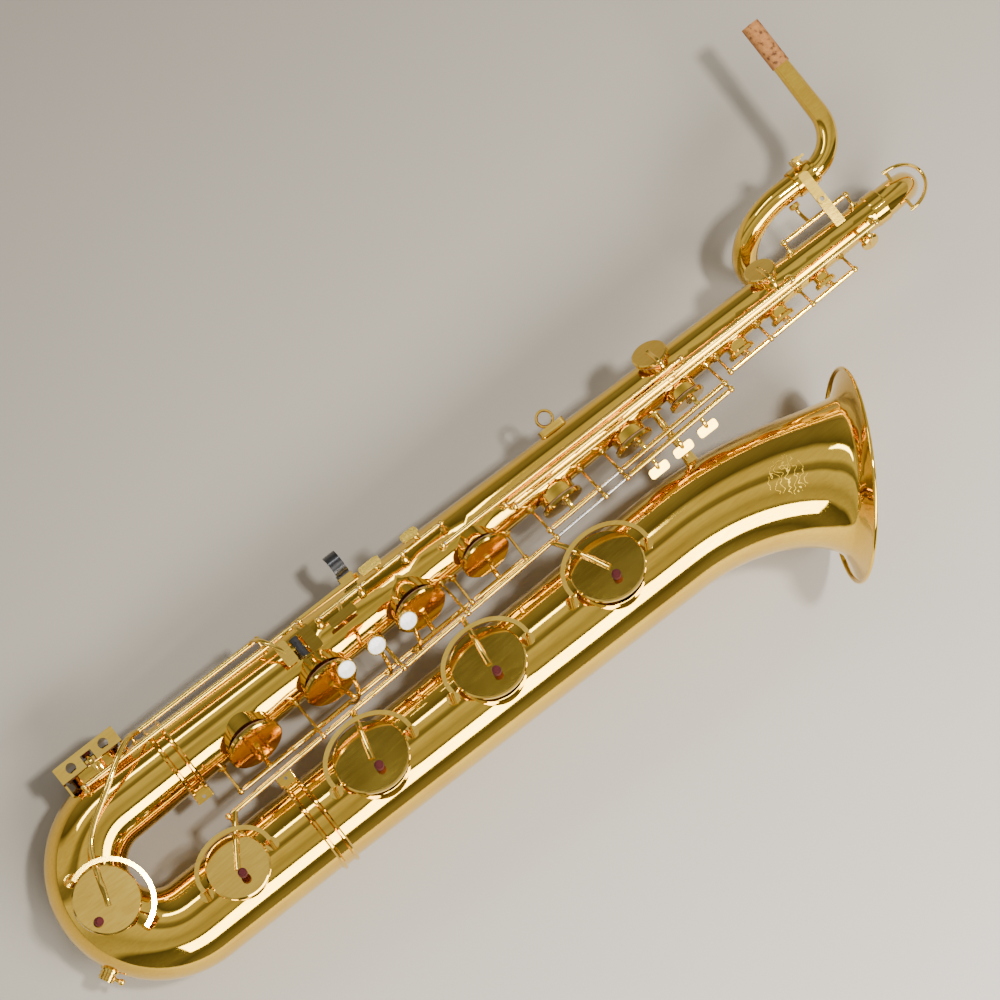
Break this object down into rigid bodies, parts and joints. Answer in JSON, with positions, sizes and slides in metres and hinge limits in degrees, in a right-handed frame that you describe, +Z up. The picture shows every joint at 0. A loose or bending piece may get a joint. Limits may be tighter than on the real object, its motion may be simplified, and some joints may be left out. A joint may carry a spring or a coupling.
{
  "type": "baritone saxophone",
  "caption": "Low-A baritone saxophone lying on its left side: flared bell, bow, looped top crook, neck, hinged keys with pads, guards and pearls",
  "frame": {"origin": "centre of the bounding box at the floor", "axes": "+X along the body from the bow to the top bow, +Y from the bell to the neck side, +Z up; the instrument lies on its bell rim, bow and top crook"},
  "size_m": [1.01, 0.4492, 0.1925],
  "materials": {
    "lacquered_brass": "polished lacquer",
    "steel": "polished",
    "leather": "smooth",
    "pearl": "polished nacre",
    "cork": "natural cork",
    "felt": "felt",
    "black": "satin"
  },
  "bodies": {
    "instrument": {"bell": "lacquered_brass", "body_tube": "lacquered_brass", "bow": "lacquered_brass", "braces": "lacquered_brass", "guard_felts": "felt", "hinge_rods": "steel", "joint_clamps": "lacquered_brass", "key_guards": "lacquered_brass", "peg_holder": "lacquered_brass", "pigtail": "lacquered_brass", "posts": "lacquered_brass", "strap_ring": "lacquered_brass", "thumb_hook": "black", "top_bow": "lacquered_brass"},
    "key_high_e": {"key_high_e": "lacquered_brass"},
    "key_lh_a": {"key_lh_a": "lacquered_brass", "pad_lh_a": "leather"},
    "key_lh_b": {"key_lh_b": "lacquered_brass", "pad_lh_b": "leather"},
    "key_lh_g": {"key_lh_g": "lacquered_brass", "pad_lh_g": "leather"},
    "key_low_a": {"key_low_a": "lacquered_brass", "pad_low_a": "leather"},
    "key_low_b": {"key_low_b": "lacquered_brass", "pad_low_b": "leather"},
    "key_low_bb": {"key_low_bb": "lacquered_brass", "pad_low_bb": "leather"},
    "key_low_c": {"key_low_c": "lacquered_brass", "pad_low_c": "leather"},
    "key_low_cs": {"key_low_cs": "lacquered_brass", "pad_low_cs": "leather"},
    "key_low_eb": {"key_low_eb": "lacquered_brass", "pad_low_eb": "leather"},
    "key_octave": {"key_octave": "lacquered_brass"},
    "key_rh_d": {"key_rh_d": "lacquered_brass", "pad_rh_d": "leather", "pearl_rh_d": "pearl"},
    "key_rh_e": {"key_rh_e": "lacquered_brass", "pad_rh_e": "leather", "pearl_rh_e": "pearl"},
    "key_rh_f": {"key_rh_f": "lacquered_brass", "pad_rh_f": "leather", "pearl_rh_f": "pearl"},
    "key_rh_fs": {"key_rh_fs": "lacquered_brass", "pad_rh_fs": "leather"},
    "key_side_bb": {"key_side_bb": "lacquered_brass", "pad_side_bb": "leather"},
    "key_side_c": {"key_side_c": "lacquered_brass", "pad_side_c": "leather"},
    "key_side_touch_1": {"key_side_touch_1": "lacquered_brass"},
    "key_side_touch_2": {"key_side_touch_2": "lacquered_brass"},
    "key_side_touch_3": {"key_side_touch_3": "lacquered_brass"},
    "key_table_lever": {"key_table_lever": "lacquered_brass"},
    "key_upper_1": {"key_upper_1": "lacquered_brass"},
    "key_upper_2": {"key_upper_2": "lacquered_brass"},
    "key_upper_3": {"key_upper_3": "lacquered_brass"},
    "neck_assembly": {"neck": "lacquered_brass", "neck_cork": "cork"},
    "neck_screw": {"neck_screw": "lacquered_brass"},
    "roller": {"roller_low_eb": "black"}
  },
  "joints": [
    {"name": "low_a_press", "type": "hinge", "parent": "instrument", "child": "key_low_a", "pos_m": [-0.02132, -0.02624, 0.1035], "axis": [0.9968, 0.0355, 0.0717], "range_deg": [0, 8.7], "stiffness_Nm_per_rad": 0.06, "springref_deg": -20.05},
    {"name": "low_bb_press", "type": "hinge", "parent": "instrument", "child": "key_low_bb", "pos_m": [-0.10759, -0.02931, 0.09729], "axis": [0.9968, 0.0355, 0.0717], "range_deg": [0, 8.7], "stiffness_Nm_per_rad": 0.06, "springref_deg": -20.05},
    {"name": "low_b_press", "type": "hinge", "parent": "instrument", "child": "key_low_b", "pos_m": [-0.18838, -0.03219, 0.09148], "axis": [0.9968, 0.0355, 0.0717], "range_deg": [0, 8.7], "stiffness_Nm_per_rad": 0.06, "springref_deg": -20.05},
    {"name": "low_cs_press", "type": "hinge", "parent": "instrument", "child": "key_low_cs", "pos_m": [-0.28563, -0.03565, 0.08448], "axis": [0.9968, 0.0355, 0.0717], "range_deg": [-7, 0], "stiffness_Nm_per_rad": 0.06, "springref_deg": 20.05},
    {"name": "low_c_press", "type": "hinge", "parent": "instrument", "child": "key_low_c", "pos_m": [-0.29196, 0.06573, 0.06133], "axis": [0.9973, -0.008, 0.0733], "range_deg": [0, 4.7], "stiffness_Nm_per_rad": 0.06, "springref_deg": -20.05},
    {"name": "low_eb_press", "type": "hinge", "parent": "instrument", "child": "key_low_eb", "pos_m": [-0.30302, 0.05634, 0.07541], "axis": [0.9973, -0.008, 0.0733], "range_deg": [0, 6], "stiffness_Nm_per_rad": 0.06, "springref_deg": -20.05},
    {"name": "roller_spin", "type": "hinge", "parent": "key_low_eb", "child": "roller", "pos_m": [-0.20402, 0.03837, 0.09684], "axis": [0.0155, 0.9772, -0.2115], "continuous": true},
    {"name": "rh_d_press", "type": "hinge", "parent": "instrument", "child": "key_rh_d", "pos_m": [-0.25101, -0.02789, 0.05664], "axis": [0.9972, 0.018, 0.0724], "range_deg": [-5.7, 0], "stiffness_Nm_per_rad": 0.06, "springref_deg": 20.05},
    {"name": "rh_e_press", "type": "hinge", "parent": "instrument", "child": "key_rh_e", "pos_m": [-0.16723, -0.02637, 0.06272], "axis": [0.9972, 0.018, 0.0724], "range_deg": [-5.7, 0], "stiffness_Nm_per_rad": 0.06, "springref_deg": 20.05},
    {"name": "rh_f_press", "type": "hinge", "parent": "instrument", "child": "key_rh_f", "pos_m": [-0.09891, -0.02514, 0.06768], "axis": [0.9972, 0.018, 0.0724], "range_deg": [-5.7, 0], "stiffness_Nm_per_rad": 0.06, "springref_deg": 20.05},
    {"name": "rh_fs_press", "type": "hinge", "parent": "instrument", "child": "key_rh_fs", "pos_m": [-0.0271, -0.02385, 0.07289], "axis": [0.9972, 0.018, 0.0724], "range_deg": [-5.7, 0], "stiffness_Nm_per_rad": 0.06, "springref_deg": 20.05},
    {"name": "lh_g_press", "type": "hinge", "parent": "instrument", "child": "key_lh_g", "pos_m": [0.05739, -0.01532, 0.10358], "axis": [0.997, 0.0298, 0.0719], "range_deg": [0, 3.7], "stiffness_Nm_per_rad": 0.06, "springref_deg": -20.05},
    {"name": "lh_a_press", "type": "hinge", "parent": "instrument", "child": "key_lh_a", "pos_m": [0.13982, -0.01286, 0.10953], "axis": [0.997, 0.0298, 0.0719], "range_deg": [0, 3.7], "stiffness_Nm_per_rad": 0.06, "springref_deg": -20.05},
    {"name": "lh_b_press", "type": "hinge", "parent": "instrument", "child": "key_lh_b", "pos_m": [0.19668, -0.01116, 0.11363], "axis": [0.997, 0.0298, 0.0719], "range_deg": [0, 3.7], "stiffness_Nm_per_rad": 0.06, "springref_deg": -20.05},
    {"name": "upper_1_press", "type": "hinge", "parent": "instrument", "child": "key_upper_1", "pos_m": [0.26595, -0.00529, 0.11042], "axis": [0.9979, 0.0216, 0.0603], "range_deg": [-6, 0], "stiffness_Nm_per_rad": 0.06, "springref_deg": 20.05},
    {"name": "upper_2_press", "type": "hinge", "parent": "instrument", "child": "key_upper_2", "pos_m": [0.31386, -0.00426, 0.11331], "axis": [0.9979, 0.0216, 0.0603], "range_deg": [-6, 0], "stiffness_Nm_per_rad": 0.06, "springref_deg": 20.05},
    {"name": "upper_3_press", "type": "hinge", "parent": "instrument", "child": "key_upper_3", "pos_m": [0.36278, -0.0032, 0.11627], "axis": [0.9979, 0.0216, 0.0603], "range_deg": [-6, 0], "stiffness_Nm_per_rad": 0.06, "springref_deg": 20.05},
    {"name": "side_bb_press", "type": "hinge", "parent": "instrument", "child": "key_side_bb", "pos_m": [0.08014, 0.03101, 0.10778], "axis": [0.9987, -0.0008, 0.0516], "range_deg": [0, 8], "stiffness_Nm_per_rad": 0.06, "springref_deg": -20.05},
    {"name": "side_c_press", "type": "hinge", "parent": "instrument", "child": "key_side_c", "pos_m": [0.17302, 0.02475, 0.1128], "axis": [0.9987, -0.0008, 0.0516], "range_deg": [0, 8], "stiffness_Nm_per_rad": 0.06, "springref_deg": -20.05},
    {"name": "high_e_press", "type": "hinge", "parent": "instrument", "child": "key_high_e", "pos_m": [0.22203, 0.01848, 0.11456], "axis": [0.9987, -0.0008, 0.0516], "range_deg": [-8, 0], "stiffness_Nm_per_rad": 0.06, "springref_deg": 20.05},
    {"name": "side_touch_1_press", "type": "hinge", "parent": "instrument", "child": "key_side_touch_1", "pos_m": [-0.15385, 0.04708, 0.09228], "axis": [0.9985, -0.0006, 0.0551], "range_deg": [0, 5]},
    {"name": "side_touch_2_press", "type": "hinge", "parent": "instrument", "child": "key_side_touch_2", "pos_m": [-0.10791, 0.04705, 0.09481], "axis": [0.9985, -0.0006, 0.0551], "range_deg": [-5, 0]},
    {"name": "side_touch_3_press", "type": "hinge", "parent": "instrument", "child": "key_side_touch_3", "pos_m": [-0.06297, 0.04702, 0.09729], "axis": [0.9985, -0.0006, 0.0551], "range_deg": [-5, 0]},
    {"name": "table_lever_press", "type": "hinge", "parent": "instrument", "child": "key_table_lever", "pos_m": [0.16969, -0.01945, 0.11725], "axis": [0.9968, 0.0355, 0.0717], "range_deg": [0, 5], "stiffness_Nm_per_rad": 0.06, "springref_deg": -20.05},
    {"name": "octave_press", "type": "hinge", "parent": "instrument", "child": "key_octave", "pos_m": [0.39062, 0.05365, 0.10573], "axis": [0.9973, 0, 0.073], "range_deg": [-8, 0], "stiffness_Nm_per_rad": 0.06, "springref_deg": 20.05},
    {"name": "neck_turn", "type": "hinge", "parent": "instrument", "child": "neck_assembly", "pos_m": [0.40775, 0.08834, 0.09772], "axis": [0.9973, 0, 0.073], "range_deg": [-20, 20]},
    {"name": "neck_screw_turn", "type": "hinge", "parent": "instrument", "child": "neck_screw", "pos_m": [0.41079, 0.10433, 0.09737], "axis": [-0.073, 0.0356, 0.9967], "continuous": true}
  ],
  "couplings": [
    {"joint": "side_touch_1_press", "follows": "high_e_press", "ratio": -0.625},
    {"joint": "side_touch_2_press", "follows": "side_c_press", "ratio": -0.625},
    {"joint": "side_touch_3_press", "follows": "side_bb_press", "ratio": -0.625}
  ]
}
